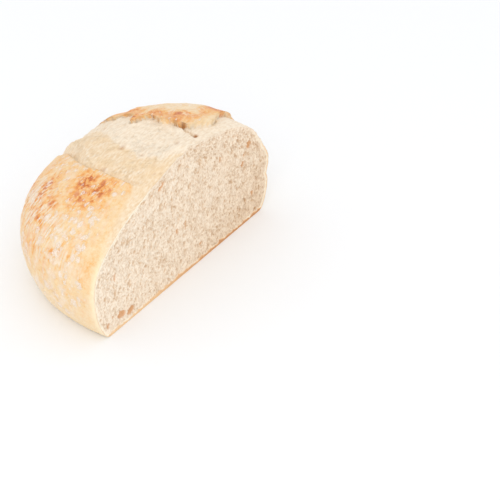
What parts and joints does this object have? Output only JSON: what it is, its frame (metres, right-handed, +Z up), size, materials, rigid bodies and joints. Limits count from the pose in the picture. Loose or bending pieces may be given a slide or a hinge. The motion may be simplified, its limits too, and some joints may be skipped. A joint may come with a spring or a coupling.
{
  "type": "sourdough loaf half",
  "caption": "Half of a round, cross-scored sourdough loaf on its flat base, cut through beside its middle to show the crumb.",
  "frame": {"origin": "middle of the bounding box's footprint, on the surface that the loaf rests on", "axes": "+Z up, +X along the cut face's bottom edge, -Y out of the cut face, +Y towards the loaf's uncut back"},
  "size_m": [0.1978, 0.1134, 0.0993],
  "materials": {
    "bread": "matt baked crust, golden with deeper brown and floury patches, over cream crumb with fine open pores"
  },
  "bodies": {
    "root": {"loaf": "bread"}
  },
  "joints": []
}
